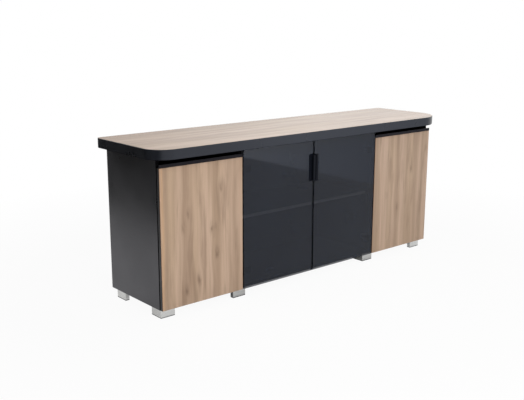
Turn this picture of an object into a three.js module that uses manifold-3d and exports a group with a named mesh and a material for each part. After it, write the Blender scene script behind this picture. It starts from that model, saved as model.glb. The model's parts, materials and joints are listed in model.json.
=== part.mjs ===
// Office credenza: a thick top slab over a dark carcass with two wood doors, two smoked glass doors
// and eight corner feet. Millimetres, +X to the right, +Y to the back, +Z up.
// The floor is z = 0 and the slab is centred on x = 0, y = 0.
import * as THREE from "three";
import { mergeVertices } from "three/addons/utils/BufferGeometryUtils.js";
import Module from "manifold-3d";

const wasm = await Module();
wasm.setup();

// Overall size
const WIDTH = 1900;
const DEPTH = 492;
const HEIGHT = 760;

// Top slab
const TOP_T = 44;
const BAND_T = 2; // dark edging round the slab
const RADIUS_FRONT_LEFT = 92;
const RADIUS_FRONT_RIGHT = 178;
const RADIUS_BACK = 25;
const CORNER_STEPS = 16;
const SLAB_EASE = 1.5; // eased rim of the edging

// Carcass
const BOARD = 18;
const SIDE_OVERHANG = 53; // slab past the side panels
const FRONT_OVERHANG = 66; // slab past the door fronts
const DOOR_GAP = 4; // door backs to carcass front edge
const FOOT_H = 43;
const RAIL_SETBACK = 20; // sub-top front edge behind the carcass front, for the fingers
const BACK_T = 8;
const BACK_INSET = 8; // back panel in from the rear edge
const GROOVE_DEEP = 8;
const FIT = 0.3; // clearance round every inserted piece
const EDGE_EASE = 1; // eased rim of a board's edging
const GLASS_EASE = 0.8;

// Doors
const DOOR_T = 18;
const GLASS_T = 6;
const DOOR_BOTTOM = 45;
const DOOR_TOP = 673;
const GLASS_TOP = 713;
const DOOR_EDGE = 896; // outer edge of a wood door from the middle
const DOOR_INNER = 449.5; // inner edge of a wood door
const GLASS_EDGE = 443.5; // hinged edge of a glass door
const SEAM_HALF = 2;

// Edge pull along the top of a wood door
const PULL_H = 15;
const PULL_T = 2.4;
const PULL_BACK = 20;

// Handle of a glass door
const GRIP_BOTTOM = 506;
const GRIP_H = 130;
const GRIP_BASE_W = 27.5;
const GRIP_HEAD_W = 14;
const GRIP_OUT = 16.5;
const GRIP_WALL = 3;
const GRIP_WEB = 4;
const BOLT_R = 4;
const NUT_R = 8;
const NUT_T = 3;

// Shelves
const SHELF_TOP = 387;
const SHELF_SETBACK = 28;
const SHELF_SIDE_GAP = 1;
const PIN_R = 2.5;
const PIN_IN = 8; // pin inside the panel
const PIN_OUT = 9; // pin under the shelf

// Feet
const FOOT_SIDE_INSET = 11;
const FOOT_FRONT_INSET = 9;
const FOOT_BACK_INSET = 26;
const FOOT_LEG = 74;
const FOOT_T = 20;
const FOOT_NOSE = 3; // round of the outer corner
const FOOT_TIP = 2; // round of the legs' ends
const FOOT_FILLET = 4;
const FOOT_EASE = 0.8;

// Cup hinge of a wood door, measured from the door's hinged edge (u) and from its back face (v)
const CUP_U = 22;
const CUP_R = 17.5;
const CUP_DEEP = 13.2;
const CUP_WALL = 1;
const FLANGE_W = 38;
const FLANGE_H = 60;
const FLANGE_R = 8;
const FLANGE_T = 1.5;
const AXIS_U = 9;
const AXIS_V = 9.5;
const ARM_U = [21, 29.5]; // straight neck of the arm
const ARM_HALF = 5;
const ARM_LENGTH = 62; // behind the carcass front
const WING_T = 4.5; // mounting plate on the side panel
const WOOD_HINGE_Z = [145, 573];

// Bonded hinge of a glass door
const LEAF_U = 29.5; // middle of the leaf from the pane's edge
const LEAF_W = 38;
const LEAF_H = 32;
const LEAF_R = 6;
const LEAF_T = 2.5;
const KNUCKLE_R = 2.5;
const KNUCKLE_HALF = 6; // half of the arm's knuckle
const KNUCKLE_END = 5.4; // each of the leaf's two
const GLASS_AXIS_U = 6;
const GLASS_AXIS_BACK = 3;
const GLASS_ARM_T = 3.5;
const GLASS_HINGE_Z = [130, 614];
const PIVOT_R = 1;
const HEIGHT_NAMES = ["lower", "upper"];

// Planes that follow from the dimensions above
const FRONT = -DEPTH / 2;
const BACK = DEPTH / 2;
const DOOR_FRONT = FRONT + FRONT_OVERHANG;
const DOOR_BACK = DOOR_FRONT + DOOR_T;
const GLASS_BACK = DOOR_FRONT + GLASS_T;
const CARCASS_FRONT = DOOR_BACK + DOOR_GAP;
const SIDE_X = WIDTH / 2 - SIDE_OVERHANG;
const SIDE_IN = SIDE_X - BOARD;
const SLAB_Z = HEIGHT - TOP_T;
const FLOOR_Z = FOOT_H + BOARD; // inner floor of the bays
const CEIL_Z = SLAB_Z - BOARD;
const BACK_FACE = BACK - BACK_INSET - BACK_T; // front of the back panels
const PART_MID = (DOOR_INNER + GLASS_EDGE) / 2;
const PART_OUT = PART_MID + BOARD / 2;
const PART_IN = PART_MID - BOARD / 2;

// Colours as seen in the picture
const paint = (color, roughness, metalness = 0) =>
  () => new THREE.MeshStandardMaterial({ color, roughness, metalness });
const topWood = paint(0xbcac9d, 0.45);
const doorWood = paint(0xae957e, 0.5);
const slabEdge = paint(0x3d4048, 0.45);
const carcassBoard = paint(0x2b2b2e, 0.55);
const pullBlack = paint(0x28292e, 0.4, 0.3);
const gripBlack = paint(0x14161c, 0.35, 0.2);
const smokedGlass = paint(0x2e3138, 0.08);
const footSilver = paint(0xbababa, 0.3, 0.8);
const hingeSteel = paint(0xb4b6b8, 0.3, 0.9);
const leafBlack = paint(0x1c1d20, 0.35, 0.6);

const group = new THREE.Group();
group.name = "office_credenza";

function add(name, geometry, material) {
  const mesh = new THREE.Mesh(geometry, material());
  mesh.name = name;
  group.add(mesh);
  return mesh;
}

// A piece modelled on the left, and the same piece mirrored to the right.
function addPair(name, geometry, material) {
  add("left_" + name, geometry, material);
  add("right_" + name, geometry, material).scale.x = -1;
}

function block(x0, x1, y0, y1, z0, z1) {
  const g = new THREE.BoxGeometry(x1 - x0, y1 - y0, z1 - z0);
  return g.translate((x0 + x1) / 2, (y0 + y1) / 2, (z0 + z1) / 2);
}

// A cylinder with its axis along x, y or z, centred on the point.
function rod(axis, radius, length, x, y, z, segments = 16) {
  const g = new THREE.CylinderGeometry(radius, radius, length, segments);
  if (axis === "x") g.rotateZ(Math.PI / 2);
  if (axis === "z") g.rotateX(Math.PI / 2);
  return g.translate(x, y, z);
}

function outline(points) {
  return new THREE.Shape(points.map(([a, b]) => new THREE.Vector2(a, b)));
}

// A plan outline in x and y, raised from z0 to z1, with the rims of both faces eased.
function raise(shape, z0, z1, curveSegments = 4, ease = 0) {
  const g = new THREE.ExtrudeGeometry(shape, {
    depth: z1 - z0 - 2 * ease,
    curveSegments,
    bevelEnabled: ease > 0,
    bevelThickness: ease,
    bevelSize: ease,
    bevelOffset: -ease,
    bevelSegments: 1,
  });
  return g.translate(0, 0, z0 + ease);
}

// A board or pane whose two large faces, square to `axis`, have eased rims.
function board(axis, x0, x1, y0, y1, z0, z1, ease = EDGE_EASE) {
  const [w, d, h] = [x1 - x0, y1 - y0, z1 - z0];
  const [a, b, t] = { x: [h, d, w], y: [w, h, d], z: [w, d, h] }[axis];
  const face = outline([
    [-a / 2, -b / 2],
    [a / 2, -b / 2],
    [a / 2, b / 2],
    [-a / 2, b / 2],
  ]);
  const g = raise(face, -t / 2, t / 2, 1, ease);
  if (axis === "x") g.rotateY(Math.PI / 2);
  if (axis === "y") g.rotateX(Math.PI / 2);
  return g.translate((x0 + x1) / 2, (y0 + y1) / 2, (z0 + z1) / 2);
}

// A section in y and z, run from x0 to x1.
function runAlongX(points, x0, x1) {
  const g = new THREE.ExtrudeGeometry(outline(points), { depth: x1 - x0, bevelEnabled: false });
  const turn = new THREE.Matrix4().makeBasis(
    new THREE.Vector3(0, 1, 0),
    new THREE.Vector3(0, 0, 1),
    new THREE.Vector3(1, 0, 0),
  );
  return g.applyMatrix4(turn).translate(x0, 0, 0);
}

function solid(geometry) {
  const g = geometry.clone();
  g.deleteAttribute("normal");
  g.deleteAttribute("uv");
  const m = mergeVertices(g, 1e-4);
  return new wasm.Manifold(
    new wasm.Mesh({
      numProp: 3,
      vertProperties: m.attributes.position.array,
      triVerts: new Uint32Array(m.index.array),
    }),
  );
}

function surface(manifold) {
  const m = manifold.getMesh();
  const g = new THREE.BufferGeometry();
  g.setAttribute("position", new THREE.BufferAttribute(new Float32Array(m.vertProperties), 3));
  g.setIndex(new THREE.BufferAttribute(new Uint32Array(m.triVerts), 1));
  g.computeVertexNormals();
  return g;
}

// First piece joined with the others in `plus`, less those in `minus`.
function shaped(plus, minus = []) {
  let body = plus.map(solid).reduce((a, b) => a.add(b));
  for (const tool of minus) body = body.subtract(solid(tool));
  return surface(body);
}

// Plan of the slab, moved in by `inset` on every side.
function slabPlan(inset) {
  const x = WIDTH / 2 - inset;
  const f = FRONT + inset;
  const b = BACK - inset;
  const fl = RADIUS_FRONT_LEFT - inset;
  const fr = RADIUS_FRONT_RIGHT - inset;
  const r = RADIUS_BACK - inset;
  const s = new THREE.Shape();
  s.moveTo(-x + fl, f);
  s.lineTo(x - fr, f);
  s.absarc(x - fr, f + fr, fr, -Math.PI / 2, 0, false);
  s.lineTo(x, b - r);
  s.absarc(x - r, b - r, r, 0, Math.PI / 2, false);
  s.lineTo(-x + r, b);
  s.absarc(-x + r, b - r, r, Math.PI / 2, Math.PI, false);
  s.lineTo(-x, f + fl);
  s.absarc(-x + fl, f + fl, fl, Math.PI, Math.PI * 1.5, false);
  return s;
}

function buildTop() {
  add("top_board", raise(slabPlan(BAND_T), SLAB_Z, HEIGHT, CORNER_STEPS), topWood);
  const ring = shaped(
    [raise(slabPlan(0), SLAB_Z, HEIGHT, CORNER_STEPS, SLAB_EASE)],
    [raise(slabPlan(BAND_T), SLAB_Z - 1, HEIGHT + 1, CORNER_STEPS)],
  );
  add("top_edge_band", ring, slabEdge);
}

// Shelf pins sit in blind holes, two per end of a shelf.
const PIN_Z = SHELF_TOP - BOARD - PIN_R;
const PIN_Y = [CARCASS_FRONT + 65, BACK_FACE - 45];

function pinHoles(faceX) {
  return PIN_Y.map((y) => rod("x", PIN_R + FIT, 2 * (PIN_IN + FIT), faceX, y, PIN_Z, 12));
}

// A saw groove that takes one edge of a back panel.
const grooveY = [BACK_FACE - FIT, BACK_FACE + BACK_T + FIT];

function buildCarcass() {
  const side = shaped(
    [board("x", -SIDE_X, -SIDE_IN, CARCASS_FRONT, BACK, FOOT_H, SLAB_Z)],
    [
      block(-SIDE_IN - GROOVE_DEEP, -SIDE_IN + 1, ...grooveY, FLOOR_Z - GROOVE_DEEP, CEIL_Z + GROOVE_DEEP),
      ...pinHoles(-SIDE_IN),
    ],
  );
  addPair("side_panel", side, carcassBoard);

  const partition = shaped(
    [block(-PART_OUT, -PART_IN, CARCASS_FRONT, BACK, FLOOR_Z, CEIL_Z)],
    [
      block(-PART_OUT - 1, -PART_OUT + GROOVE_DEEP, ...grooveY, FLOOR_Z - 1, CEIL_Z + 1),
      block(-PART_IN - GROOVE_DEEP, -PART_IN + 1, ...grooveY, FLOOR_Z - 1, CEIL_Z + 1),
      ...pinHoles(-PART_OUT),
      ...pinHoles(-PART_IN),
    ],
  );
  addPair("partition", partition, carcassBoard);

  const floor = shaped(
    [block(-SIDE_IN, SIDE_IN, CARCASS_FRONT, BACK, FOOT_H, FLOOR_Z)],
    [block(-SIDE_IN - 1, SIDE_IN + 1, ...grooveY, FLOOR_Z - GROOVE_DEEP, FLOOR_Z + 1)],
  );
  add("bottom_panel", floor, carcassBoard);

  const ceiling = shaped(
    [block(-SIDE_IN, SIDE_IN, CARCASS_FRONT + RAIL_SETBACK, BACK, CEIL_Z, SLAB_Z)],
    [block(-SIDE_IN - 1, SIDE_IN + 1, ...grooveY, CEIL_Z - 1, CEIL_Z + GROOVE_DEEP)],
  );
  add("sub_top_panel", ceiling, carcassBoard);
}

function buildBacksAndShelves() {
  const tongue = GROOVE_DEEP - FIT;
  const back = (x0, x1) =>
    block(x0 - tongue, x1 + tongue, BACK_FACE, BACK_FACE + BACK_T, FLOOR_Z - tongue, CEIL_Z + tongue);
  addPair("back_panel", back(-SIDE_IN, -PART_OUT), carcassBoard);
  add("centre_back_panel", back(-PART_IN, PART_IN), carcassBoard);

  const shelf = (x0, x1) =>
    board(
      "z",
      x0 + SHELF_SIDE_GAP,
      x1 - SHELF_SIDE_GAP,
      CARCASS_FRONT + SHELF_SETBACK,
      BACK_FACE - 4,
      SHELF_TOP - BOARD,
      SHELF_TOP,
    );
  addPair("shelf", shelf(-SIDE_IN, -PART_OUT), carcassBoard);
  add("centre_shelf", shelf(-PART_IN, PART_IN), carcassBoard);

  // One pin: a short rod in the panel with a collar against its face.
  const pin = (faceX, inward, y) => {
    const mid = faceX + (inward * (PIN_OUT - PIN_IN)) / 2;
    return shaped([
      rod("x", PIN_R, PIN_IN + PIN_OUT, mid, y, PIN_Z, 12),
      rod("x", PIN_R + 1.4, 1.2, faceX + inward * 0.6, y, PIN_Z - 1.4, 12),
    ]);
  };
  const ends = ["front", "rear"];
  PIN_Y.forEach((y, i) => {
    addPair(`outer_${ends[i]}_shelf_pin`, pin(-SIDE_IN, 1, y), hingeSteel);
    addPair(`inner_${ends[i]}_shelf_pin`, pin(-PART_OUT, -1, y), hingeSteel);
    addPair(`centre_${ends[i]}_shelf_pin`, pin(-PART_IN, 1, y), hingeSteel);
  });
}

// An angle foot whose outer corner is at (x, y); its legs run along +x * sx and +y * sy.
function footPlan(x, y, sx, sy) {
  const s = new THREE.Shape();
  const at = (a, b) => [x + sx * a, y + sy * b];
  const line = (a, b) => s.lineTo(...at(a, b));
  const bend = (a, b, c, d) => s.quadraticCurveTo(...at(a, b), ...at(c, d));
  s.moveTo(...at(FOOT_NOSE, 0));
  line(FOOT_LEG - FOOT_TIP, 0);
  bend(FOOT_LEG, 0, FOOT_LEG, FOOT_TIP);
  line(FOOT_LEG, FOOT_T);
  line(FOOT_T + FOOT_FILLET, FOOT_T);
  bend(FOOT_T, FOOT_T, FOOT_T, FOOT_T + FOOT_FILLET);
  line(FOOT_T, FOOT_LEG);
  line(FOOT_TIP, FOOT_LEG);
  bend(0, FOOT_LEG, 0, FOOT_LEG - FOOT_TIP);
  line(0, FOOT_NOSE);
  bend(0, 0, FOOT_NOSE, 0);
  return s;
}

function buildFeet() {
  const outerX = -SIDE_X + FOOT_SIDE_INSET;
  const innerX = -PART_MID + FOOT_LEG / 2; // the inner feet stand under the partitions
  const rows = [
    ["front", CARCASS_FRONT + FOOT_FRONT_INSET, 1],
    ["back", BACK - FOOT_BACK_INSET, -1],
  ];
  for (const [row, y, sy] of rows) {
    const foot = (x, sx) => raise(footPlan(x, y, sx, sy), 0, FOOT_H, 3, FOOT_EASE);
    addPair(`${row}_outer_foot`, foot(outerX, 1), footSilver);
    addPair(`${row}_inner_foot`, foot(innerX, -1), footSilver);
  }
}

// A flat plate with rounded corners in x and z, its front on the plane y.
function roundedPlate(w, h, r, t, x, y, z) {
  const [a, b] = [w / 2 - r, h / 2 - r];
  const s = new THREE.Shape();
  s.moveTo(-a, -b - r);
  s.absarc(a, -b, r, -Math.PI / 2, 0, false);
  s.absarc(a, b, r, 0, Math.PI / 2, false);
  s.absarc(-a, b, r, Math.PI / 2, Math.PI, false);
  s.absarc(-a, -b, r, Math.PI, Math.PI * 1.5, false);
  return raise(s, 0, t).rotateX(Math.PI / 2).translate(x, y + t, z);
}

function buildWoodDoor() {
  const hingeX = -DOOR_EDGE + CUP_U;
  const rebate = PULL_T + FIT;
  const door = shaped(
    [board("y", -DOOR_EDGE, -DOOR_INNER, DOOR_FRONT, DOOR_BACK, DOOR_BOTTOM, DOOR_TOP)],
    [
      block(
        -DOOR_EDGE - 1,
        -DOOR_INNER + 1,
        DOOR_BACK - rebate,
        DOOR_BACK + 1,
        DOOR_TOP - PULL_BACK - FIT,
        DOOR_TOP + 1,
      ),
      ...WOOD_HINGE_Z.map((z) => rod("y", CUP_R + FIT, 2 * (CUP_DEEP + FIT), hingeX, DOOR_BACK, z, 24)),
    ],
  );
  addPair("wood_door", door, doorWood);
  buildEdgePull();
  WOOD_HINGE_Z.forEach((z, i) => buildCupHinge(HEIGHT_NAMES[i], hingeX, z));
}

// A web on the door's top edge, a lip in front with a small return, and a leg let into the back.
function buildEdgePull() {
  const f = DOOR_FRONT;
  const b = DOOR_BACK;
  const web = DOOR_TOP + PULL_T;
  const top = DOOR_TOP + PULL_H;
  const inside = f + PULL_T;
  const round = 0.8;
  const section = [
    [f, DOOR_TOP],
    [b - PULL_T, DOOR_TOP],
    [b - PULL_T, DOOR_TOP - PULL_BACK],
    [b, DOOR_TOP - PULL_BACK],
    [b, web - round],
    [b - round, web],
    [inside + 2 * round, web],
    [inside, web + 2 * round],
    [inside, top - 4 * round],
    [inside + 2 * round, top - 3 * round],
    [inside + 2 * round, top - round],
    [inside + round, top],
    [f + round, top],
    [f, top - round],
  ];
  addPair("door_edge_pull", runAlongX(section, -DOOR_EDGE, -DOOR_INNER), pullBlack);
}

// A cup let into the door with its pivot pin, and an arm on the side panel that hooks round the pin.
function buildCupHinge(where, cupX, z) {
  const axisX = -DOOR_EDGE + AXIS_U;
  const axisY = DOOR_BACK - AXIS_V;
  const hollow = CUP_DEEP - CUP_WALL;
  const spare = 2;
  const shell = shaped(
    [
      roundedPlate(FLANGE_W, FLANGE_H, FLANGE_R, FLANGE_T, cupX, DOOR_BACK, z),
      rod("y", CUP_R, CUP_DEEP + FLANGE_T, cupX, DOOR_BACK + (FLANGE_T - CUP_DEEP) / 2, z, 24),
    ],
    [rod("y", CUP_R - CUP_WALL, hollow + 2 * spare, cupX, DOOR_BACK - hollow / 2 + spare, z, 24)],
  );
  const pin = rod("z", PIVOT_R, 2 * ARM_HALF + 11, axisX, axisY, z, 12);
  addPair(`wood_${where}_hinge_cup`, shaped([shell, pin]), hingeSteel);

  const wing = [-SIDE_IN, -SIDE_IN + WING_T];
  const neck = ARM_U.map((u) => -DOOR_EDGE + u);
  const thick = 1.5; // half of the hook's thickness
  const back = CARCASS_FRONT + ARM_LENGTH;
  const arm = shaped(
    [
      block(...wing, back - 40, back + 4, z - 11, z + 11),
      block(...wing, back - 28, back - 8, z - 25, z + 25),
      block(...neck, axisY - thick, back, z - ARM_HALF, z + ARM_HALF),
      block(axisX, neck[1], axisY - thick, axisY + thick, z - ARM_HALF, z + ARM_HALF),
      rod("z", PIVOT_R + 1.4, 2 * ARM_HALF, axisX, axisY, z),
    ],
    [rod("z", PIVOT_R + FIT, 2 * ARM_HALF + spare, axisX, axisY, z)],
  );
  addPair(`wood_${where}_hinge_arm`, arm, hingeSteel);
}

function buildGlassDoor() {
  const gripX = -SEAM_HALF - 0.5;
  const boltX = gripX - GRIP_BASE_W / 2;
  const boltZ = [GRIP_BOTTOM + 20, GRIP_BOTTOM + GRIP_H - 20];
  const midY = DOOR_FRONT + GLASS_T / 2;
  const through = GLASS_T + 2;
  const pane = shaped(
    [board("y", -GLASS_EDGE, -SEAM_HALF, DOOR_FRONT, GLASS_BACK, DOOR_BOTTOM, GLASS_TOP, GLASS_EASE)],
    boltZ.map((z) => rod("y", BOLT_R + FIT, through, boltX, midY, z, 12)),
  );
  addPair("glass_door", pane, smokedGlass);

  // Handle: a channel section open to the outside, bolted through the pane
  const base = DOOR_FRONT - GRIP_WALL;
  const head = DOOR_FRONT - GRIP_OUT;
  const inner = head + GRIP_WALL;
  const web = gripX - GRIP_WEB;
  const fillet = 2;
  const channel = outline([
    [gripX - GRIP_BASE_W, DOOR_FRONT],
    [gripX - GRIP_BASE_W, base + 1],
    [gripX - GRIP_BASE_W + 1, base],
    [web - fillet, base],
    [web, base - fillet],
    [web, inner + fillet],
    [web - fillet, inner],
    [gripX - GRIP_HEAD_W, inner],
    [gripX - GRIP_HEAD_W, head + 1],
    [gripX - GRIP_HEAD_W + 1, head],
    [gripX - 1, head],
    [gripX, head + 1],
    [gripX, DOOR_FRONT],
  ]);
  const grip = shaped([
    raise(channel, GRIP_BOTTOM, GRIP_BOTTOM + GRIP_H),
    ...boltZ.map((z) => rod("y", BOLT_R, through, boltX, midY, z, 12)),
    ...boltZ.map((z) => rod("y", NUT_R, NUT_T, boltX, GLASS_BACK + NUT_T / 2, z)),
  ]);
  addPair("glass_door_handle", grip, gripBlack);
  GLASS_HINGE_Z.forEach((z, i) => buildGlassHinge(HEIGHT_NAMES[i], z));
}

// A leaf bonded to the back of the pane with two knuckles and the pin, and an arm on the partition.
function buildGlassHinge(where, z) {
  const axisX = -GLASS_EDGE + GLASS_AXIS_U;
  const axisY = GLASS_BACK + GLASS_AXIS_BACK;
  const plate = [GLASS_BACK, GLASS_BACK + LEAF_T];
  const offset = KNUCKLE_HALF + KNUCKLE_END / 2 + 2 * FIT;
  const half = KNUCKLE_END / 2;
  const knuckles = [z - offset, z + offset].flatMap((mid) => [
    rod("z", KNUCKLE_R, KNUCKLE_END, axisX, axisY, mid, 12),
    block(axisX, -GLASS_EDGE + LEAF_U, ...plate, mid - half, mid + half),
  ]);
  const leaf = shaped([
    roundedPlate(LEAF_W, LEAF_H, LEAF_R, LEAF_T, -GLASS_EDGE + LEAF_U, GLASS_BACK, z),
    ...knuckles,
    rod("z", PIVOT_R, 2 * offset, axisX, axisY, z, 12),
  ]);
  addPair(`glass_${where}_hinge_leaf`, leaf, leafBlack);

  const wall = [-PART_IN, -PART_IN + GLASS_ARM_T];
  const arm = shaped(
    [
      block(...wall, CARCASS_FRONT + 8, CARCASS_FRONT + 50, z - 20, z + 20),
      block(...wall, axisY, CARCASS_FRONT + 12, z - KNUCKLE_HALF, z + KNUCKLE_HALF),
      rod("z", KNUCKLE_R, 2 * KNUCKLE_HALF, axisX, axisY, z),
    ],
    [rod("z", PIVOT_R + FIT, 2 * KNUCKLE_HALF + 2, axisX, axisY, z)],
  );
  addPair(`glass_${where}_hinge_arm`, arm, hingeSteel);
}

buildTop();
buildCarcass();
buildBacksAndShelves();
buildFeet();
buildWoodDoor();
buildGlassDoor();

export default group;
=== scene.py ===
"""Looks of an office credenza with wood doors, smoked glass doors and an anthracite carcass."""

import json
import math
from typing import NamedTuple

import bmesh
import bpy
from mathutils import Matrix, Vector

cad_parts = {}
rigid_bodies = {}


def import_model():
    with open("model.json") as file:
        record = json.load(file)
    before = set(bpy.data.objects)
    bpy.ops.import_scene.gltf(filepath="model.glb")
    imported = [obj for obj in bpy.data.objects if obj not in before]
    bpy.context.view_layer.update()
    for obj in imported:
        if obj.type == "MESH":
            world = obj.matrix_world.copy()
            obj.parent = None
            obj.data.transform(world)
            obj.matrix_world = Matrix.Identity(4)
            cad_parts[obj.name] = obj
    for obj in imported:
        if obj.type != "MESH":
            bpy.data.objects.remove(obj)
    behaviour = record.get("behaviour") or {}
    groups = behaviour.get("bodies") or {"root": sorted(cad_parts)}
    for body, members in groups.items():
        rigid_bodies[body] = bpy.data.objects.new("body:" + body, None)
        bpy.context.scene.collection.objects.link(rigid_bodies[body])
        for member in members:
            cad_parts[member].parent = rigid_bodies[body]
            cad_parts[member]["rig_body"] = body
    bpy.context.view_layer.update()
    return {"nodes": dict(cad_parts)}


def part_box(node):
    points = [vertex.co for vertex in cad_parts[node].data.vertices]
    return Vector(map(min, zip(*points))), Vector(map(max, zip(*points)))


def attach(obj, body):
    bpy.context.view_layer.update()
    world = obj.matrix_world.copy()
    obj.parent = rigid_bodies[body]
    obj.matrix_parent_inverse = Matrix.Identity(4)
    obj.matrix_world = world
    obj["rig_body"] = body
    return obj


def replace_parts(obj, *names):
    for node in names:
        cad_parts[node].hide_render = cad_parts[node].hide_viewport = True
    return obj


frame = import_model()
NODES = frame["nodes"]
FORWARDS = Vector((0.0, -1.0, 0.0))
BACKWARDS = Vector((0.0, 1.0, 0.0))
DOWNWARDS = Vector((0.0, 0.0, -1.0))


def srgb(red, green, blue):
    """A colour written as seen, 0 to 255, as the linear colour that shaders take."""
    def linear(value):
        c = value / 255
        return c / 12.92 if c <= 0.04045 else ((c + 0.055) / 1.055) ** 2.4

    return (linear(red), linear(green), linear(blue), 1.0)


def grey(level):
    """A colour without hue, by its linear level."""
    return (level, level, level, 1.0)


def shade(colour, factor):
    """A lighter or darker colour of the same hue."""
    return tuple(min(1.0, c * factor) for c in colour[:3]) + (1.0,)


def around(middle, below, above):
    """A range by its middle and how far it reaches to either side."""
    return (middle - below, middle + above)


WHITE = grey(1.0)
FULL = (0.0, 1.0)
NOISE_SPAN = (0.3, 0.7)  # where nearly all values of a noise lie
NOISE_CORE = (0.35, 0.65)  # where most of them lie
SHARP_EDGE = (0.98, 0.85)  # cosine between the true and the rounded normal, beside an edge and on it
BEVEL_SAMPLES = 4


class Graph:
    """A node tree in the making. What feeds a node is another node's socket or a plain value."""

    def __init__(self, tree):
        self.tree = tree

    def node(self, kind, inputs=None, **settings):
        made = self.tree.nodes.new(kind)
        for key, value in settings.items():
            setattr(made, key, value)
        for key, value in (inputs or {}).items():
            self.feed(made.inputs[key], value)
        return made

    def feed(self, socket, value):
        if isinstance(value, bpy.types.NodeSocket):
            self.tree.links.new(value, socket)
        else:
            socket.default_value = value

    def calc(self, operation, a, b=0.0, clamp=False):
        return self.node("ShaderNodeMath", {0: a, 1: b}, operation=operation, use_clamp=clamp).outputs[0]

    def plus(self, a, b):
        return self.calc("ADD", a, b)

    def minus(self, a, b):
        return self.calc("SUBTRACT", a, b)

    def times(self, a, b):
        return self.calc("MULTIPLY", a, b)

    def place(self):
        """Position in the part's frame, in metres."""
        return self.node("ShaderNodeTexCoord").outputs["Object"]

    def split(self, vector):
        return self.node("ShaderNodeSeparateXYZ", {0: vector}).outputs

    def ramp(self, value, source, target=FULL, curve="SMOOTHSTEP"):
        """`value` carried from the range `source` to the range `target`, and held at its ends."""
        inputs = dict(enumerate((value, *source, *target)))
        return self.node("ShaderNodeMapRange", inputs, interpolation_type=curve).outputs["Result"]

    def mix_shaders(self, factor, first, second):
        return self.node("ShaderNodeMixShader", {0: factor, 1: first, 2: second}).outputs[0]

    def seen_directly(self):
        """1 for what the camera, metal and glass see, 0 for light that falls on the object."""
        path = self.node("ShaderNodeLightPath").outputs
        seen = self.calc("MAXIMUM", path["Is Camera Ray"], path["Is Glossy Ray"])
        return self.calc("MAXIMUM", seen, path["Is Transmission Ray"])


class Paint(Graph):
    """A node material in the making, with its Principled shader."""

    def __init__(self, name):
        self.material = bpy.data.materials.new(name)
        self.material.use_nodes = True
        super().__init__(self.material.node_tree)
        self.shader = self.tree.nodes["Principled BSDF"]

    def set(self, socket, value):
        self.feed(self.shader.inputs[socket], value)

    def join(self, x, y):
        return self.node("ShaderNodeCombineXYZ", {0: x, 1: y}).outputs[0]

    def stretched(self, place, scale, shift=(0.0, 0.0, 0.0)):
        mapping = self.node("ShaderNodeMapping", {"Vector": place, "Location": shift, "Scale": scale})
        return mapping.outputs["Vector"]

    def noise(self, place, scale=1.0, detail=2.0, roughness=0.5):
        inputs = {"Vector": place, "Scale": scale, "Detail": detail, "Roughness": roughness}
        return self.node("ShaderNodeTexNoise", inputs).outputs["Fac"]

    def bell(self, squared, sharpness):
        """1 where a squared distance is 0, falling softly to 0 further out."""
        return self.calc("EXPONENT", self.times(squared, -sharpness))

    def mix(self, factor, a, b):
        """Colour `a` turning into `b`. A Mix node has its colours at inputs 6 and 7 and at output 2."""
        return self.node("ShaderNodeMix", {0: factor, 6: a, 7: b}, data_type="RGBA").outputs[2]

    def bump(self, height, strength, depth):
        inputs = {"Height": height, "Strength": strength, "Distance": depth}
        return self.node("ShaderNodeBump", inputs).outputs["Normal"]

    def facing(self, axis):
        """How far the surface faces along an axis of its own body, from -1 to 1."""
        return self.split(self.node("ShaderNodeTexCoord").outputs["Normal"])[axis]

    def edge_mask(self, radius):
        """1 along sharp edges, fading to 0 within `radius`."""
        rounded = self.node("ShaderNodeBevel", {"Radius": radius}, samples=BEVEL_SAMPLES).outputs["Normal"]
        flat = self.node("ShaderNodeNewGeometry").outputs["Normal"]
        dot = self.node("ShaderNodeVectorMath", {0: rounded, 1: flat}, operation="DOT_PRODUCT")
        return self.ramp(dot.outputs["Value"], SHARP_EDGE)


class Streaks(NamedTuple):
    """A kind of streak in the wood decor, cut out of a stretched noise."""
    across: float  # how often the noise changes, per metre
    along: float
    seed: float  # moves the noise, so that no two kinds agree
    noise: tuple  # its values where a streak begins and where it is full
    detail: float


HUE = Streaks(across=9.0, along=0.6, seed=11.0, noise=(0.38, 0.62), detail=2.0)
BROAD = Streaks(across=16.0, along=1.1, seed=3.1, noise=(0.40, 0.62), detail=2.0)
LINES = Streaks(across=58.0, along=1.9, seed=7.3, noise=(0.40, 0.68), detail=3.0)
FLAMES = Streaks(across=26.0, along=3.2, seed=5.7, noise=(0.50, 0.70), detail=3.0)
FINE = Streaks(across=330.0, along=5.0, seed=2.3, noise=(0.30, 0.70), detail=3.0)
PORES = Streaks(across=900.0, along=16.0, seed=9.1, noise=(0.62, 0.74), detail=2.0)
STREAK_ROUGHNESS = 0.55  # of their noise
SEED_SHIFT = (1.0, 0.7, 1.9)  # how far a seed of 1 moves it along X, Y and Z

# How strongly each kind colours the wood
BROAD_SHARE = 0.66
BROAD_SHARE_WITH_BANDS = 0.40
LINES_SHARE = 0.34
FLAMES_SHARE = 0.36
FINE_SHARE = 0.12
PORES_SHARE = 0.22

# Tones of the wood
PALE = srgb(214, 184, 159)
OLIVE = srgb(204, 175, 146)
AMBER = srgb(212, 170, 130)
BROWN = srgb(164, 135, 110)
DEEP = srgb(126, 98, 77)
# Pale wash laid over the decor: painted sheen
SHEEN_WASH_TONE = srgb(226, 226, 226)

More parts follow.
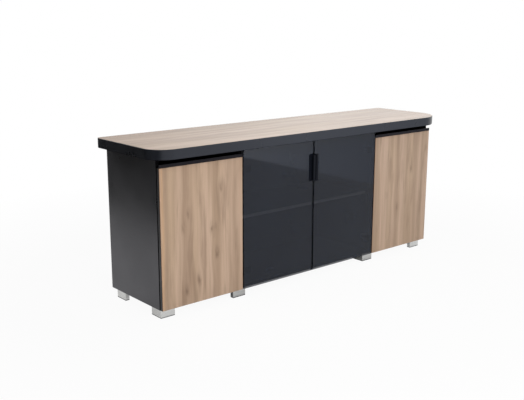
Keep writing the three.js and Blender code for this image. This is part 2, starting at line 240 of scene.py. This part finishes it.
# Wide bands of the two wood doors: across from the middle of the cabinet, half width, strength, tone
LEFT_BANDS = [
    (-0.887, 0.009, 0.70, AMBER),
    (-0.866, 0.010, 0.55, BROWN),
    (-0.812, 0.018, 0.45, PALE),
    (-0.768, 0.022, 0.40, BROWN),
    (-0.671, 0.030, 0.40, PALE),
    (-0.598, 0.020, 0.55, BROWN),
    (-0.545, 0.020, 0.55, PALE),
    (-0.490, 0.026, 0.50, BROWN),
]
RIGHT_BANDS = [
    (0.464, 0.014, 0.60, BROWN),
    (0.524, 0.016, 0.80, PALE),
    (0.636, 0.016, 0.70, BROWN),
    (0.676, 0.018, 0.70, PALE),
    (0.787, 0.020, 0.50, BROWN),
    (0.846, 0.014, 0.50, BROWN),
    (0.884, 0.010, 0.80, PALE),
]
BAND_SHARPNESS = 1.0

# Knots of the two wood doors: across from the middle of the cabinet, height, half width, darkness
LEFT_KNOTS = [
    (-0.753, 0.457, 0.010, 0.60),
    (-0.572, 0.551, 0.010, 0.50),
    (-0.628, 0.377, 0.011, 0.70),
    (-0.606, 0.377, 0.008, 0.60),
    (-0.599, 0.255, 0.012, 0.75),
    (-0.699, 0.146, 0.012, 0.60),
    (-0.767, 0.112, 0.011, 0.60),
    (-0.779, 0.400, 0.010, 0.40),
]
RIGHT_KNOTS = [
    (0.645, 0.272, 0.010, 0.55),
    (0.553, 0.350, 0.009, 0.40),
    (0.750, 0.470, 0.010, 0.45),
    (0.872, 0.576, 0.011, 0.45),
]
KNOT_TONE = srgb(104, 78, 58)
KNOT_SHARE = 0.85
KNOT_TALL = 2.6  # height of a knot for its width
KNOT_SHARPNESS = 1.4
KNOT_RAG_SCALE = (140.0, 22.0, 1.0)  # how often a knot's ragged look changes, per metre across and along
KNOT_RAG_NOISE = (0.3, 0.65)
KNOT_RAG_DARKNESS = (0.30, 1.25)
BEND = 0.55  # how far the grain bends round a knot, as a share of its distance from it
BEND_SHARPNESS = 0.16

# The run of the grain, the rims and edges of the doors, and the surface
SWAY = 0.022  # how far the grain wanders across, in metres
SWAY_SCALE = (3.0, 1.7, 1.0)  # how often, per metre across and along
NOISE_MIDDLE = 0.5
RIM_WIDTH = 0.0035
RIM_TONE = srgb(150, 106, 72)
RIM_SHARE = 0.75
DOOR_EDGE_TONE = srgb(46, 45, 47)
DOOR_FACING = (0.55, 0.62)  # how far a surface faces front or back, on a door's edge and on its face
DOOR_ROUGH = 0.46
WOOD_ROUGH_REACH = (0.04, 0.05)
WOOD_BUMP = (0.10, 0.0004)  # strength and depth


def grain_run(paint, u, v, knots):
    """Where the grain runs, as it sways and bends round knots, and how dark the knots make it."""
    wander = paint.noise(paint.stretched(paint.join(u, v), SWAY_SCALE))
    x = paint.plus(u, paint.times(paint.minus(wander, NOISE_MIDDLE), SWAY))
    dark = 0.0
    for at, height, size, depth in knots:
        aside = paint.minus(u, at)
        p = paint.calc("DIVIDE", aside, size)
        q = paint.calc("DIVIDE", paint.minus(v, height), size * KNOT_TALL)
        squared = paint.plus(paint.times(p, p), paint.times(q, q))
        dark = paint.plus(paint.times(paint.bell(squared, KNOT_SHARPNESS), depth), dark)
        bend = paint.times(paint.times(aside, paint.bell(squared, BEND_SHARPNESS)), -BEND)
        x = paint.plus(x, bend)
    return x, dark


def streaks(paint, grain, kind):
    """1 on the streaks of one kind, 0 between them."""
    shift = [kind.seed * share for share in SEED_SHIFT]
    moved = paint.stretched(grain, (kind.across, kind.along, 1.0), shift)
    return paint.ramp(paint.noise(moved, detail=kind.detail, roughness=STREAK_ROUGHNESS), kind.noise)


def wood(
    name, across, along, span=None, knots=(), bands=(), edge=None, contrast=1.0, rough=DOOR_ROUGH, haze=0.0
):
    """Printed wood decor: long soft streaks, bands, flames, pores, and knots that the grain bends round.

    `span` is where a door's two rims are, `edge` the colour of its narrow sides, and `haze` how much a pale
    wash of painted sheen pales the decor.
    """
    paint = Paint(name)
    place = paint.split(paint.place())
    u, v = place[across], place[along]
    x, dark = grain_run(paint, u, v, knots)
    grain = paint.join(x, v)
    fine = streaks(paint, grain, FINE)
    pores = streaks(paint, grain, PORES)
    broad_share = BROAD_SHARE_WITH_BANDS if bands else BROAD_SHARE

    def blend(colour, factor, share, tone):
        return paint.mix(paint.times(factor, share * contrast), colour, tone)

    colour = paint.mix(streaks(paint, grain, HUE), PALE, OLIVE)
    colour = blend(colour, streaks(paint, grain, BROAD), broad_share, BROWN)
    for at, width, strength, tone in bands:
        p = paint.calc("DIVIDE", paint.minus(x, at), width)
        colour = blend(colour, paint.bell(paint.times(p, p), BAND_SHARPNESS), strength, tone)
    colour = blend(colour, streaks(paint, grain, LINES), LINES_SHARE, BROWN)
    colour = blend(colour, streaks(paint, grain, FLAMES), FLAMES_SHARE, DEEP)
    colour = blend(colour, fine, FINE_SHARE, DEEP)
    colour = blend(colour, pores, PORES_SHARE, DEEP)
    if knots:
        rag = paint.noise(paint.stretched(grain, KNOT_RAG_SCALE))
        ragged = paint.ramp(rag, KNOT_RAG_NOISE, KNOT_RAG_DARKNESS)
        colour = blend(colour, paint.calc("MULTIPLY", dark, ragged, clamp=True), KNOT_SHARE, KNOT_TONE)
    if span:
        left, right = span
        from_rim = paint.calc("MINIMUM", paint.minus(u, left), paint.minus(right, u))
        colour = blend(colour, paint.ramp(from_rim, (RIM_WIDTH, 0.0)), RIM_SHARE, RIM_TONE)
    if edge:
        faces = paint.calc("ABSOLUTE", paint.facing("Y"))
        colour = paint.mix(paint.ramp(faces, DOOR_FACING), edge, colour)
    # Painted sheen: a pale wash over the whole decor
    if haze:
        colour = paint.mix(haze, colour, SHEEN_WASH_TONE)
    paint.set("Base Color", colour)
    paint.set("Roughness", paint.ramp(fine, FULL, around(rough, *WOOD_ROUGH_REACH)))
    paint.set("Normal", paint.bump(paint.plus(fine, pores), *WOOD_BUMP))
    return paint.material


def door_wood(side, knots, bands):
    """Wood with an upright grain, for the left or the right door."""
    low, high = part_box(side + "_wood_door")
    return wood(side + "_door_wood", "X", "Z", (low.x, high.x), knots, bands, DOOR_EDGE_TONE)


# Faced boards
CLOUD_SCALE = 6.0  # per metre
CLOUD_DETAIL = 4.0
CLOUD_SHADE = 1.15
CLOUD_ROUGH_REACH = (0.04, 0.04)
PEARL_SCALE = 900.0  # per metre
PEARL_BUMP = (0.05, 0.0002)  # strength and depth
# Sharp edges lighter than the face: partly rubbed wear, partly a painted highlight along them
WEAR_AND_HIGHLIGHT_WIDTH = 0.001
WEAR_AND_HIGHLIGHT_SHARE = 0.2
WEAR_AND_HIGHLIGHT_SHADE = 1.6
FRONT_FACING = (-0.8, -0.9)  # how far a surface faces back, beside a front edge and on it
FRONT_GRIT_SHADE = 0.92


def melamine(name, base, rough, gloss, sheen=WHITE, front_edge=None):
    """Faced board: fine pearl texture, faint clouding, edges a little lighter, partly as rubbed wear and
    partly as a painted highlight.

    `sheen` tints its reflections, and `front_edge` is the colour of a strip on the edge that faces forwards.
    """
    paint = Paint(name)
    place = paint.place()
    cloud = paint.noise(place, CLOUD_SCALE, CLOUD_DETAIL)
    pearl = paint.noise(place, PEARL_SCALE)
    colour = paint.mix(paint.ramp(cloud, NOISE_CORE), base, shade(base, CLOUD_SHADE))
    if front_edge:
        grit = paint.mix(pearl, shade(front_edge, FRONT_GRIT_SHADE), front_edge)
        colour = paint.mix(paint.ramp(paint.facing("Y"), FRONT_FACING), colour, grit)
    # Painted highlight, with some wear, that lightens the sharp edges
    wear_and_highlight = paint.times(paint.edge_mask(WEAR_AND_HIGHLIGHT_WIDTH), WEAR_AND_HIGHLIGHT_SHARE)
    paint.set("Base Color", paint.mix(wear_and_highlight, colour, shade(base, WEAR_AND_HIGHLIGHT_SHADE)))
    paint.set("Roughness", paint.ramp(cloud, NOISE_SPAN, around(rough, *CLOUD_ROUGH_REACH)))
    paint.set("Normal", paint.bump(pearl, *PEARL_BUMP))
    paint.set("Specular IOR Level", gloss)
    paint.set("Specular Tint", sheen)
    return paint.material


# Metal
BRUSHED_ALONG = 8.0  # how often its fine lines change, per metre
BRUSHED_ACROSS = 900.0
BRUSHED_DETAIL = 3.0
BRUSHED_SHADE = 0.82
BRUSHED_ROUGH_REACH = (0.05, 0.05)
BRUSHED_BUMP = (0.06, 0.0002)  # strength and depth
SMUDGE_SCALE = 22.0  # per metre
SMUDGE_DETAIL = 3.0
SMUDGE_NOISE = (0.4, 0.7)
SMUDGE_ROUGH = 0.06


def metal(name, base, rough, metallic, brushed_along, gloss=0.5):
    """Brushed, anodised or painted metal with lines along one axis."""
    paint = Paint(name)
    place = paint.place()
    scale = [BRUSHED_ALONG if axis == brushed_along else BRUSHED_ACROSS for axis in "XYZ"]
    lines = paint.ramp(paint.noise(paint.stretched(place, scale), detail=BRUSHED_DETAIL), NOISE_SPAN)
    streaked = paint.ramp(lines, FULL, around(rough, *BRUSHED_ROUGH_REACH))
    smudge = paint.noise(place, SMUDGE_SCALE, SMUDGE_DETAIL)
    smudged = paint.ramp(smudge, SMUDGE_NOISE, (0.0, SMUDGE_ROUGH))
    paint.set("Base Color", paint.mix(lines, shade(base, BRUSHED_SHADE), base))
    paint.set("Roughness", paint.plus(streaked, smudged))
    paint.set("Normal", paint.bump(lines, *BRUSHED_BUMP))
    paint.set("Metallic", metallic)
    paint.set("Specular IOR Level", gloss)
    return paint.material


# Glass of the centre doors
GLASS_TINTS = (srgb(17, 25, 41), srgb(21, 30, 46))
# Black of the pane's edges, also used for the painted shade along the seam
GLASS_EDGE_AND_SEAM_SHADE_TONE = srgb(5, 6, 8)
GLASS_FACING = (0.5, 0.7)  # how far a surface faces front or back, on a pane's edge and on its face
GLASS_HAZE_SCALE = 3.0  # per metre
GLASS_HAZE_DETAIL = 3.0
GLASS_ROUGH = (0.02, 0.04)
GLASS_ALPHA = 0.62
GLASS_IOR = 1.52
GLASS_GLOSS = 0.39
MEETING_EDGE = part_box("right_glass_door")[0].x  # where the panes meet, from the middle of the cabinet
SEAM_SHADE_WIDTH = 0.0025  # width of the black strip along it, painted shade that widens the dark seam
SEAM_SHADE_BLUR = 0.0003
SEAM_SHADE_ROUGH = 0.5


def smoked_glass():
    """Grey tinted pane: clear reflections, some light through its faces, black edges, and a black strip of
    painted shade along the meeting edge that widens the seam.
    """
    paint = Paint("smoked_glass")
    place = paint.place()
    haze = paint.noise(place, GLASS_HAZE_SCALE, GLASS_HAZE_DETAIL)
    faces = paint.ramp(paint.calc("ABSOLUTE", paint.facing("Y")), GLASS_FACING)
    from_middle = paint.calc("ABSOLUTE", paint.split(place)["X"])
    # Black, unreflecting strip along the meeting edge: painted shade of the seam between the panes
    seam_shade_end = MEETING_EDGE + SEAM_SHADE_WIDTH
    strip = paint.ramp(from_middle, (seam_shade_end + SEAM_SHADE_BLUR, seam_shade_end))
    clear = paint.times(faces, paint.minus(1.0, strip))
    tint = paint.mix(paint.ramp(haze, NOISE_CORE), *GLASS_TINTS)
    hazed = paint.ramp(haze, NOISE_SPAN, GLASS_ROUGH)
    paint.set("Base Color", paint.mix(clear, GLASS_EDGE_AND_SEAM_SHADE_TONE, tint))
    paint.set("Metallic", strip)
    paint.set("Roughness", paint.plus(hazed, paint.times(strip, SEAM_SHADE_ROUGH)))
    paint.set("Alpha", paint.ramp(clear, FULL, (1.0, GLASS_ALPHA)))
    paint.set("IOR", GLASS_IOR)
    paint.set("Specular IOR Level", GLASS_GLOSS)
    return paint.material


# Rubber
GRIT_SCALE = 700.0  # per metre
GRIT_SHADE = 1.5
GRIT_BUMP = (0.15, 0.0002)  # strength and depth
RUBBER_ROUGH = (0.6, 0.8)


def rubber(name, base):
    """Soft plastic with a fine grit."""
    paint = Paint(name)
    grit = paint.noise(paint.place(), GRIT_SCALE)
    paint.set("Base Color", paint.mix(grit, base, shade(base, GRIT_SHADE)))
    paint.set("Roughness", paint.ramp(grit, NOISE_SPAN, RUBBER_ROUGH))
    paint.set("Normal", paint.bump(grit, *GRIT_BUMP))
    return paint.material


# Finishes of the credenza
SLAB_TONE = srgb(32, 34, 40)
CARCASS_TONE = srgb(23, 23, 26)
INNER_TONE = srgb(27, 27, 30)
STRIP_TONE = srgb(190, 191, 193)
BLUE_SHEEN = (0.875, 0.913, 1.0, 1.0)
VIOLET_SHEEN = (0.925, 0.906, 1.0, 1.0)
MATTE = {"rough": 0.95, "gloss": 0.0}

LEFT_DOOR_WOOD = door_wood("left", LEFT_KNOTS, LEFT_BANDS)
RIGHT_DOOR_WOOD = door_wood("right", RIGHT_KNOTS, RIGHT_BANDS)
TOP_WOOD = wood("top_wood", "Y", "X", contrast=0.7, rough=0.21, haze=0.10)
SLAB_EDGE = melamine("slab_edge", SLAB_TONE, rough=0.30, gloss=0.364, sheen=BLUE_SHEEN)
SLAB_UNDER = melamine("slab_under", SLAB_TONE, **MATTE)
CARCASS = melamine("carcass_board", CARCASS_TONE, rough=0.31, gloss=0.795, sheen=VIOLET_SHEEN)
# Matte edging on the carcass's front faces, which also darkens them as painted shade under the slab's
# overhang
CARCASS_FRONT_MATTE_SHADE = melamine("carcass_front_matte_shade", CARCASS_TONE, **MATTE)
BACK = melamine("back_board", INNER_TONE, rough=0.31, gloss=0.795, sheen=VIOLET_SHEEN)
SHELF = melamine("shelf_board", INNER_TONE, rough=0.31, gloss=0.75, front_edge=STRIP_TONE)
PULL = metal("pull_black", srgb(25, 22, 28), rough=0.40, metallic=0.4, brushed_along="X", gloss=0.22)
GRIP = metal("grip_black", srgb(17, 20, 28), rough=0.55, metallic=0.0, brushed_along="Z", gloss=0.1)
GLASS = smoked_glass()
FOOT = metal("foot_silver", srgb(224, 224, 222), rough=0.32, metallic=0.9, brushed_along="X")
STEEL = metal("hinge_steel", srgb(205, 206, 207), rough=0.25, metallic=1.0, brushed_along="Y")
LEAF = metal("leaf_black", srgb(30, 31, 34), rough=0.35, metallic=0.5, brushed_along="X")
PAD = rubber("glide_pad", srgb(60, 60, 62))
BUMPER = rubber("bumper", srgb(150, 152, 154))

# The first row that fits the end of a node's name gives its finish
FINISHES = [
    ("top_board", TOP_WOOD),
    ("top_edge_band", SLAB_EDGE),
    ("left_wood_door", LEFT_DOOR_WOOD),
    ("right_wood_door", RIGHT_DOOR_WOOD),
    ("glass_door", GLASS),
    ("door_edge_pull", PULL),
    ("glass_door_handle", GRIP),
    ("hinge_leaf", LEAF),
    ("hinge_arm", STEEL),
    ("hinge_cup", STEEL),
    ("shelf_pin", STEEL),
    ("shelf", SHELF),
    ("back_panel", BACK),
    ("foot", FOOT),
    ("", CARCASS),
]

# Finishes with a second, matte one on the faces that look one way; on the carcass's front faces the matte
# copy also stands in for shade, such as under the slab's overhang
MATTE_SIDES = {CARCASS: (CARCASS_FRONT_MATTE_SHADE, FORWARDS), SLAB_EDGE: (SLAB_UNDER, DOWNWARDS)}
MATTE_FACING = 0.4  # cosine between that way and a face's normal, from which the face is matte


def dress(node, finish):
    """Puts a finish in the node's material slots."""
    mesh = NODES[node].data
    mesh.materials.clear()
    mesh.materials.append(finish)
    if finish in MATTE_SIDES:
        matte, way = MATTE_SIDES[finish]
        mesh.materials.append(matte)
        for face in mesh.polygons:
            face.material_index = int(face.normal.dot(way) > MATTE_FACING)


def dress_nodes():
    for node in NODES:
        dress(node, next(finish for ending, finish in FINISHES if node.endswith(ending)))


def body_of(node):
    return NODES[node]["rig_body"]


def new_piece(name, shape, body, material):
    """Turns a bmesh into a piece that moves with a body."""
    mesh = bpy.data.meshes.new(name)
    bmesh.ops.recalc_face_normals(shape, faces=shape.faces)
    shape.to_mesh(mesh)
    shape.free()
    mesh.materials.append(material)
    piece = bpy.data.objects.new(name, mesh)
    bpy.context.scene.collection.objects.link(piece)
    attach(piece, body)
    return piece


# Feet
PAD_HEIGHT = 0.003
SAME_POINT = 1e-6  # vertices closer than this are one


def merged_copy(node):
    """The node's mesh as a new bmesh, with its split vertices joined."""
    shape = bmesh.new()
    shape.from_mesh(NODES[node].data)
    bmesh.ops.remove_doubles(shape, verts=shape.verts, dist=SAME_POINT)
    return shape


def build_feet():
    """Each foot as a metal angle on a dark glide pad of the same outline."""
    for node in [n for n in NODES if n.endswith("_foot")]:
        low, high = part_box(node)
        middle = (low.z + high.z) / 2
        angle = merged_copy(node)
        for vert in angle.verts:
            if vert.co.z < middle:
                vert.co.z += PAD_HEIGHT
        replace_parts(new_piece(node + "_angle", angle, body_of(node), FOOT), node)
        pad = merged_copy(node)
        for vert in pad.verts:
            if vert.co.z > middle:
                vert.co.z += PAD_HEIGHT - high.z
        new_piece(node + "_pad", pad, body_of(node), PAD)


def loft(shape, rings):
    """Faces between closed rings of points, with a cap on the first and the last."""
    rows = [[shape.verts.new(point) for point in ring] for ring in rings]
    for lower, upper in zip(rows, rows[1:]):
        for i in range(len(lower)):
            j = (i + 1) % len(lower)
            shape.faces.new((lower[i], lower[j], upper[j], upper[i]))
    shape.faces.new(rows[0][::-1])
    shape.faces.new(rows[-1])


# Screws of the hinges
SCREW_R = 0.0036
SCREW_H = 0.0014
HEAD_PROFILE = [(1.0, 0.0), (1.0, 0.35), (0.90, 0.75), (0.68, 1.0)]  # shares of the radius and the height
CROSS_ARM = 0.52  # of the driver recess, as a share of the radius
CROSS_HALF = 0.13  # half the width of an arm, likewise
CROSS_PROFILE = [(1.0, 0.97), (0.8, 0.30)]  # shares of the cross and the height, from its rim down
FLANGE_SCREW_Z = 0.0235  # from the middle of a hinge cup
WING_SCREW_Z = 0.019  # from the middle of a wood door's hinge arm
WING_SCREW_Y = -0.022  # from the arm's rear end
WING_T = 0.0045  # thickness of its plate on the side panel
PLATE_SCREW_Z = 0.013  # from the middle of a glass door's hinge arm
PLATE_SCREW_Y = -0.021  # from the arm's rear end


def cross_outline(arm, half):
    """The driver recess: a plus sign as 24 points, anticlockwise from the right arm's lower corner."""
    middle = (arm + half) / 2
    quarter = [(arm, -half), (arm, 0.0), (arm, half), (middle, half), (half, half), (half, middle)]
    points = []
    for c, s in [(1, 0), (0, 1), (-1, 0), (0, -1)]:
        points += [(c * a - s * b, s * a + c * b) for a, b in quarter]
    return points


def add_screw(shape, at, facing):
    """A pan head with a cross recess, seated at `at` and facing along `facing`."""
    turn = facing.to_track_quat("Z", "Y")
    cross = cross_outline(CROSS_ARM * SCREW_R, CROSS_HALF * SCREW_R)
    angles = [math.atan2(b, a) for a, b in cross]
    rings = []
    for wide, tall in HEAD_PROFILE:
        radius = wide * SCREW_R
        rings.append([(radius * math.cos(a), radius * math.sin(a), tall * SCREW_H) for a in angles])
    for wide, tall in CROSS_PROFILE:
        rings.append([(wide * a, wide * b, tall * SCREW_H) for a, b in cross])
    loft(shape, [[Vector(at) + turn @ Vector(point) for point in ring] for ring in rings])


def add_screw_pair(node, x, y, spread, facing):
    """Two screws, as far above the middle of a node as below it."""
    low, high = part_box(node)
    middle = (low.z + high.z) / 2
    shape = bmesh.new()
    for z in (middle - spread, middle + spread):
        add_screw(shape, (x, y, z), facing)
    new_piece(node + "_screws", shape, body_of(node), STEEL)


def build_screws():
    """Two screws in each hinge cup's flange and in each hinge arm's plate."""
    for node in [n for n in NODES if n.endswith("_hinge_cup")]:
        low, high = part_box(node)
        add_screw_pair(node, (low.x + high.x) / 2, high.y, FLANGE_SCREW_Z, BACKWARDS)
    for node in [n for n in NODES if n.endswith("_hinge_arm")]:
        low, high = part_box(node)
        inward = 1.0 if node.startswith("left") else -1.0
        facing = Vector((inward, 0.0, 0.0))
        if "_wood_" in node:
            panel_low, panel_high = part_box(node.split("_")[0] + "_side_panel")
            x = (panel_high.x if inward > 0 else panel_low.x) + inward * WING_T
            add_screw_pair(node, x, high.y + WING_SCREW_Y, WING_SCREW_Z, facing)
        else:
            x = high.x if inward > 0 else low.x
            add_screw_pair(node, x, high.y + PLATE_SCREW_Y, PLATE_SCREW_Z, facing)


# Soft stops on the free edges of the wood doors
BUMPER_R = 0.0026
BUMPER_H = 0.0034
BUMPER_PROFILE = [(1.0, 0.0), (1.0, 0.55), (0.86, 0.82), (0.5, 0.97), (0.15, 1.0)]  # shares of R and H
BUMPER_STEPS = 16
BUMPER_IN = 0.0031  # from the door's free edge
BUMPER_Z = 0.060  # from the door's top and bottom


def add_bumper(shape, at):
    """A soft domed stop on the back of a door."""
    turns = [2 * math.pi * i / BUMPER_STEPS for i in range(BUMPER_STEPS)]
    rings = []
    for wide, tall in BUMPER_PROFILE:
        radius = wide * BUMPER_R
        rings.append([(radius * math.cos(a), tall * BUMPER_H, radius * math.sin(a)) for a in turns])
    loft(shape, [[Vector(at) + Vector(point) for point in ring] for ring in rings])


def build_bumpers():
    """Two stops on the free edge of each wood door."""
    for node in ("left_wood_door", "right_wood_door"):
        low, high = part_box(node)
        x = high.x - BUMPER_IN if node.startswith("left") else low.x + BUMPER_IN
        shape = bmesh.new()
        for z in (low.z + BUMPER_Z, high.z - BUMPER_Z):
            add_bumper(shape, (x, high.y, z))
        new_piece(node + "_bumpers", shape, body_of(node), BUMPER)


class Sheet(Graph):
    """A plain sheet of the studio: the floor is shown, the others shade the object or show in its gloss."""

    def __init__(self, name, corners, shown=False, lights=True):
        mesh = bpy.data.meshes.new(name)
        mesh.from_pydata(corners, [], [(0, 1, 2, 3)])
        sheet = bpy.data.objects.new(name, mesh)
        bpy.context.scene.collection.objects.link(sheet)
        sheet.visible_camera = shown
        sheet.visible_diffuse = lights
        sheet.visible_shadow = lights
        material = bpy.data.materials.new(name)
        material.use_nodes = True
        mesh.materials.append(material)
        super().__init__(material.node_tree)
        self.tree.nodes.clear()
        self.surface = self.node("ShaderNodeOutputMaterial").inputs["Surface"]

    def cloth(self, albedo):
        return self.node("ShaderNodeBsdfDiffuse", {"Color": grey(albedo)}).outputs[0]

    def glow(self, colour, strength):
        return self.node("ShaderNodeEmission", {"Color": colour, "Strength": strength}).outputs[0]

    def shine(self, axis, ends, strengths, colour):
        """Lets the sheet glow with a strength that changes from one end of it to the other."""
        strength = self.ramp(self.split(self.place())[axis], ends, strengths, "LINEAR")
        self.feed(self.surface, self.glow(colour, strength))


# Floor
FLOOR_HALF = 9.0
FLOOR_ALBEDO = 0.72
NEAR_WHITE = 0.945  # share of plain white in the floor near the object, the rest is light and shadow
NEAR_WHITE_REFLECTED = 0.82  # the same, where metal and glass show the floor
UNDER_WHITE_REFLECTED = 0.05  # the same, under the cabinet
UNDER_HALF = (0.95, 0.30)  # half the floor that the cabinet covers, along X and Y
UNDER_REACH = (0.65, 1.15)  # where that floor begins and ends to clear, in shares of its half
NEAR_REACH = (1.3, 2.6)  # where the floor begins to turn all white and where it is, from the middle
METRES = (1.0, 1.0)


def floor_distance(floor, half):
    """How far a point of the floor is from the middle, in shares of `half` along X and Y."""
    shares = floor.node("ShaderNodeVectorMath", operation="DIVIDE")
    floor.feed(shares.inputs[0], floor.place())
    floor.feed(shares.inputs[1], (*half, 1.0))
    length = floor.node("ShaderNodeVectorMath", {0: shares.outputs["Vector"]}, operation="LENGTH")
    return length.outputs["Value"]


def build_floor():
    """A pale floor that looks white, keeps a faint shadow and is dark under the cabinet in reflections."""
    half = FLOOR_HALF
    corners = [(-half, -half, 0.0), (half, -half, 0.0), (half, half, 0.0), (-half, half, 0.0)]
    floor = Sheet("floor", corners, shown=True)
    under = floor_distance(floor, UNDER_HALF)
    reflected = floor.ramp(under, UNDER_REACH, (UNDER_WHITE_REFLECTED, NEAR_WHITE_REFLECTED), "LINEAR")
    camera = floor.node("ShaderNodeLightPath").outputs["Is Camera Ray"]
    near = floor.plus(reflected, floor.times(camera, floor.minus(NEAR_WHITE, reflected)))
    share = floor.ramp(floor_distance(floor, METRES), NEAR_REACH, (near, 1.0), "LINEAR")
    white_share = floor.times(share, floor.seen_directly())
    lit = floor.cloth(FLOOR_ALBEDO)
    floor.feed(floor.surface, floor.mix_shaders(white_share, lit, floor.glow(WHITE, 1.0)))


# Dark cloth to the left, and the grey card that hangs on it
FLAG_X = -1.75
FLAG_Y = (-1.15, 3.0)
FLAG_TOP = 1.7
FLAG_ALBEDO = 0.04
SIDE_CARD_X = -1.74
SIDE_CARD_Y = (-0.5, 0.5)
SIDE_CARD_GLOW = (0.14, 0.14)  # at the front end and at the rear end

# Card at the back
BACK_CARD_X = (-0.6, 2.6)
BACK_CARD_Y = 2.5
BACK_CARD_TOP = 1.7
BACK_CARD_GLOW = (0.2, 1.0)  # at the left end and at the right end

# Light panel to the right
PANEL_X = 1.94
PANEL_Y = (-3.3, -0.5)
PANEL_Z = (0.015, 2.2)
PANEL_GLOW = (2.29, 0.62)  # at the front end and at the rear end
PANEL_COLOUR = (0.875, 0.913, 1.0, 1.0)


def upright(start, end, low, top):
    """Corners of a standing sheet between two points of the floor."""
    return [(*start, low), (*end, low), (*end, top), (*start, top)]


def sideways(x, ends, low, top):
    """Corners of a standing sheet that runs from front to rear."""
    front, rear = ends
    return upright((x, front), (x, rear), low, top)


def build_flags():
    """What the object's gloss shows to the left and at the back."""
    flag = Sheet("left_flag", sideways(FLAG_X, FLAG_Y, 0.0, FLAG_TOP))
    flag.feed(flag.surface, flag.cloth(FLAG_ALBEDO))
    side_card = Sheet("side_card", sideways(SIDE_CARD_X, SIDE_CARD_Y, 0.0, FLAG_TOP), lights=False)
    side_card.shine("Y", SIDE_CARD_Y, SIDE_CARD_GLOW, WHITE)
    left, right = BACK_CARD_X
    corners = upright((left, BACK_CARD_Y), (right, BACK_CARD_Y), 0.0, BACK_CARD_TOP)
    back_card = Sheet("back_card", corners, lights=False)
    back_card.shine("X", BACK_CARD_X, BACK_CARD_GLOW, WHITE)


def build_panel():
    """A light panel, brighter at its front end, which the glass reflects."""
    panel = Sheet("light_panel", sideways(PANEL_X, PANEL_Y, *PANEL_Z), lights=False)
    panel.shine("Y", PANEL_Y, PANEL_GLOW, PANEL_COLOUR)


WORLD_LIGHT = 0.42


def build_world():
    """White for what the camera, metal and glass see; softer as a light."""
    world = bpy.data.worlds.new("studio")
    bpy.context.scene.world = world
    world.use_nodes = True
    graph = Graph(world.node_tree)
    shown = graph.tree.nodes["Background"]
    graph.feed(shown.inputs["Color"], WHITE)
    light = graph.node("ShaderNodeBackground", {"Color": WHITE, "Strength": WORLD_LIGHT})
    both = graph.mix_shaders(graph.seen_directly(), light.outputs[0], shown.outputs[0])
    graph.feed(graph.tree.nodes["World Output"].inputs["Surface"], both)


def softbox(name, at, towards, width, height, radiance):
    """A rectangular lamp; `radiance` is how bright its face looks."""
    data = bpy.data.lights.new(name, "AREA")
    data.shape = "RECTANGLE"
    data.size = width
    data.size_y = height
    data.energy = radiance * math.pi * width * height
    lamp = bpy.data.objects.new(name, data)
    bpy.context.scene.collection.objects.link(lamp)
    lamp.location = at
    lamp.rotation_mode = "QUATERNION"
    lamp.rotation_quaternion = (Vector(towards) - Vector(at)).to_track_quat("-Z", "Y")
    lamp.visible_camera = False
    lamp.visible_glossy = False


def build_lamps():
    softbox(
        "front_softbox",
        at=(-0.85, -2.6, 2.05),
        towards=(-0.15, -0.2, 0.62),
        width=2.6,
        height=1.6,
        radiance=3.25,
    )
    softbox(
        "top_softbox",
        at=(0.0, -0.4, 2.8),
        towards=(0.0, -0.4, 0.0),
        width=3.2,
        height=2.2,
        radiance=1.05,
    )


# Camera, in the part's frame
CAMERA_AT = Vector((-2.6470, -2.8797, 1.2797))
CAMERA_YAW = 0.7086  # radians, from +Y towards +X
CAMERA_PITCH = 0.2274  # radians, downwards
CAMERA_ROLL = 0.0022  # radians
CAMERA_LENS = 53.83  # mm
CAMERA_SENSOR = 36.0  # mm wide


def build_camera():
    forward = Vector((
        math.sin(CAMERA_YAW) * math.cos(CAMERA_PITCH),
        math.cos(CAMERA_YAW) * math.cos(CAMERA_PITCH),
        -math.sin(CAMERA_PITCH),
    ))
    level = Vector((math.cos(CAMERA_YAW), -math.sin(CAMERA_YAW), 0.0))
    plumb = level.cross(forward)
    right = math.cos(CAMERA_ROLL) * level + math.sin(CAMERA_ROLL) * plumb
    up = math.cos(CAMERA_ROLL) * plumb - math.sin(CAMERA_ROLL) * level
    data = bpy.data.cameras.new("camera")
    data.lens = CAMERA_LENS
    data.sensor_width = CAMERA_SENSOR
    camera = bpy.data.objects.new("camera", data)
    bpy.context.scene.collection.objects.link(camera)
    axes = Matrix((right, up, -forward)).transposed()
    camera.matrix_world = Matrix.Translation(CAMERA_AT) @ axes.to_4x4()
    bpy.context.scene.camera = camera


build_camera()
build_world()
build_lamps()
build_floor()
build_flags()
build_panel()
dress_nodes()
build_feet()
build_screws()
build_bumpers()

bpy.context.scene.view_settings.view_transform = "Standard"
